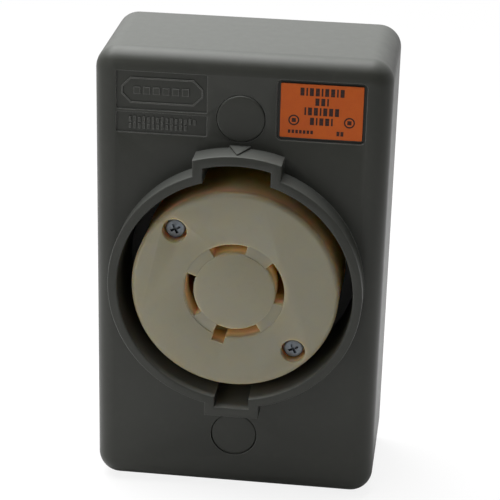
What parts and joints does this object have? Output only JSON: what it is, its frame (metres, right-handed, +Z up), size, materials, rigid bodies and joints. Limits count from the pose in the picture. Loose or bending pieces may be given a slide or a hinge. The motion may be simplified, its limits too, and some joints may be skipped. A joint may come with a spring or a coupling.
{
  "type": "surface-mounted locking receptacle box",
  "caption": "Surface-mounted moulded box with a raised collar round a shrouded four-slot locking receptacle, capped mounting screws and screw terminals behind.",
  "frame": {"origin": "the receptacle's axis in the plane of the wall that the box is screwed to", "axes": "+Y into the wall, so the front faces -Y; +Z up; +X to the right seen from the front"},
  "size_m": [0.071, 0.0405, 0.1142],
  "materials": {
    "grey_plastic": "satin moulded",
    "ivory_nylon": "satin moulded",
    "black_phenolic": "satin moulded",
    "orange_label": "satin printed film",
    "brass": "stamped, lightly tumbled",
    "zinc_steel": "bright zinc plate",
    "green_steel": "green dyed zinc plate",
    "red_fibre": "matte vulcanised fibre"
  },
  "bodies": {
    "box": {"housing": "grey_plastic", "receptacle_face": "ivory_nylon", "contact_carrier": "black_phenolic", "terminal_base": "black_phenolic", "rating_label": "orange_label", "retaining_plate": "zinc_steel", "retaining_screw_upper_right": "zinc_steel", "retaining_screw_upper_left": "zinc_steel", "retaining_screw_lower_left": "zinc_steel", "retaining_screw_lower_right": "zinc_steel", "assembly_screw_left": "zinc_steel", "assembly_nut_left": "zinc_steel", "assembly_screw_right": "zinc_steel", "assembly_nut_right": "zinc_steel", "contact_neutral": "brass", "contact_hot_x": "brass", "contact_hot_y": "brass", "contact_ground": "brass"},
    "cap_top": {"screw_cap_top": "grey_plastic"},
    "keeper_top": {"screw_keeper_top": "red_fibre"},
    "driver_screw_top": {"mounting_screw_top": "zinc_steel"},
    "cap_bottom": {"screw_cap_bottom": "grey_plastic"},
    "keeper_bottom": {"screw_keeper_bottom": "red_fibre"},
    "driver_screw_bottom": {"mounting_screw_bottom": "zinc_steel"},
    "clamp_neutral": {"wire_clamp_neutral": "zinc_steel"},
    "screw_neutral": {"terminal_screw_neutral": "zinc_steel"},
    "clamp_hot_x": {"wire_clamp_hot_x": "zinc_steel"},
    "screw_hot_x": {"terminal_screw_hot_x": "brass"},
    "clamp_hot_y": {"wire_clamp_hot_y": "zinc_steel"},
    "screw_hot_y": {"terminal_screw_hot_y": "brass"},
    "clamp_ground": {"wire_clamp_ground": "zinc_steel"},
    "screw_ground": {"terminal_screw_ground": "green_steel"}
  },
  "joints": [
    {"name": "cap_top_pull", "type": "slide", "parent": "box", "child": "cap_top", "axis": [0, -1, 0], "range_m": [-0.0006, 0.012]},
    {"name": "mounting_screw_top_travel", "type": "slide", "parent": "box", "child": "keeper_top", "axis": [0, 1, 0], "range_m": [0, 0.007]},
    {"name": "mounting_screw_top_turn", "type": "hinge", "parent": "keeper_top", "child": "driver_screw_top", "pos_m": [0, -0.0193, 0.04165], "axis": [0, 1, 0], "continuous": true},
    {"name": "cap_bottom_pull", "type": "slide", "parent": "box", "child": "cap_bottom", "axis": [0, -1, 0], "range_m": [0, 0.012]},
    {"name": "mounting_screw_bottom_travel", "type": "slide", "parent": "box", "child": "keeper_bottom", "axis": [0, 1, 0], "range_m": [0, 0.007]},
    {"name": "mounting_screw_bottom_turn", "type": "hinge", "parent": "keeper_bottom", "child": "driver_screw_bottom", "pos_m": [0, -0.0193, -0.04165], "axis": [0, 1, 0], "continuous": true},
    {"name": "wire_clamp_neutral_rise", "type": "slide", "parent": "box", "child": "clamp_neutral", "axis": [0, 1, 0], "range_m": [0, 0.0024]},
    {"name": "terminal_screw_neutral_turn", "type": "hinge", "parent": "clamp_neutral", "child": "screw_neutral", "pos_m": [-0.00254, -0.006, 0.01701], "axis": [0, 1, 0], "range_deg": [0, 1080]},
    {"name": "wire_clamp_hot_x_rise", "type": "slide", "parent": "box", "child": "clamp_hot_x", "axis": [0, 1, 0], "range_m": [0, 0.0024]},
    {"name": "terminal_screw_hot_x_turn", "type": "hinge", "parent": "clamp_hot_x", "child": "screw_hot_x", "pos_m": [0.01672, -0.006, 0.00402], "axis": [0, 1, 0], "range_deg": [0, 1080]},
    {"name": "wire_clamp_hot_y_rise", "type": "slide", "parent": "box", "child": "clamp_hot_y", "axis": [0, 1, 0], "range_m": [0, 0.0024]},
    {"name": "terminal_screw_hot_y_turn", "type": "hinge", "parent": "clamp_hot_y", "child": "screw_hot_y", "pos_m": [-0.01699, -0.006, -0.00269], "axis": [0, 1, 0], "range_deg": [0, 1080]},
    {"name": "wire_clamp_ground_rise", "type": "slide", "parent": "box", "child": "clamp_ground", "axis": [0, 1, 0], "range_m": [0, 0.0024]},
    {"name": "terminal_screw_ground_turn", "type": "hinge", "parent": "clamp_ground", "child": "screw_ground", "pos_m": [0.00135, -0.006, -0.01715], "axis": [0, 1, 0], "range_deg": [0, 1080]}
  ],
  "couplings": [
    {"joint": "terminal_screw_neutral_turn", "follows": "wire_clamp_neutral_rise", "rad_per_m": 7854},
    {"joint": "terminal_screw_hot_x_turn", "follows": "wire_clamp_hot_x_rise", "rad_per_m": 7854},
    {"joint": "terminal_screw_hot_y_turn", "follows": "wire_clamp_hot_y_rise", "rad_per_m": 7854},
    {"joint": "terminal_screw_ground_turn", "follows": "wire_clamp_ground_rise", "rad_per_m": 7854}
  ]
}
